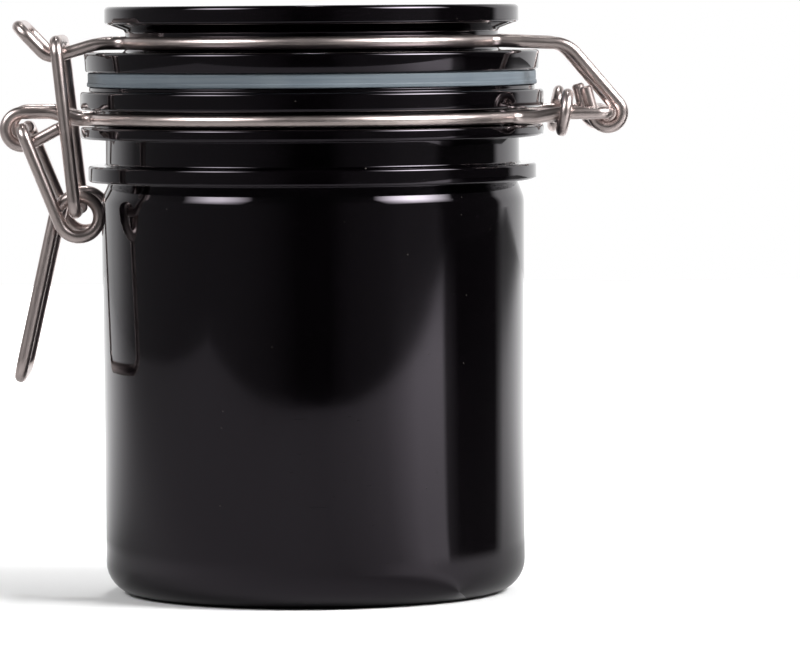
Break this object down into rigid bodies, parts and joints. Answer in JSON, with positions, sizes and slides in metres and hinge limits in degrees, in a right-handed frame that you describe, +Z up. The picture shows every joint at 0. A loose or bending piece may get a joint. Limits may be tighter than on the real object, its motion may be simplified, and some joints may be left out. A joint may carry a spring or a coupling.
{
  "type": "clip-top food canister",
  "caption": "Round clip-top canister with a lid, sealing ring and a hinged wire bail with an over-centre lever latch.",
  "frame": {"origin": "centre of the base, on the surface the canister stands on; the jar's axis is on Z", "axes": "+Z up the jar's axis, +X from the latch side to the hinge side, +Y along the hinge bar; stored closed and latched"},
  "size_m": [0.1251, 0.0932, 0.1183],
  "materials": {
    "jar_plastic": "polished black",
    "lid_plastic": "polished black",
    "gasket_silicone": "matt blue-grey silicone",
    "neck_wire_steel": "drawn stainless wire, polished",
    "neck_tie_steel": "drawn stainless wire, polished",
    "lid_wire_steel": "drawn stainless wire, polished",
    "clasp_lever_steel": "drawn stainless wire, polished",
    "clasp_link_steel": "drawn stainless wire, polished"
  },
  "bodies": {
    "jar": {"jar_body": "jar_plastic", "neck_wire": "neck_wire_steel", "neck_tie": "neck_tie_steel"},
    "lid": {"lid": "lid_plastic", "gasket": "gasket_silicone", "lid_wire": "lid_wire_steel"},
    "lever": {"clasp_lever": "clasp_lever_steel"},
    "link": {"clasp_link": "clasp_link_steel"}
  },
  "joints": [
    {"name": "lid_hinge", "type": "hinge", "parent": "jar", "child": "lid", "pos_m": [0.0587, 0, 0.0966], "axis": [0, 1, 0], "range_deg": [0, 180]},
    {"name": "lever_pivot", "type": "hinge", "parent": "jar", "child": "lever", "pos_m": [-0.05775, 0, 0.094], "axis": [0, 1, 0], "range_deg": [0, 120], "deforming": ["clasp_link"]},
    {"name": "link_pivot", "type": "hinge", "parent": "lever", "child": "link", "pos_m": [-0.04715, 0, 0.07755], "axis": [0, 1, 0], "range_deg": [-138, 0]}
  ],
  "couplings": [
    {"joint": "link_pivot", "follows": "lever_pivot", "ratio": -1.15}
  ]
}
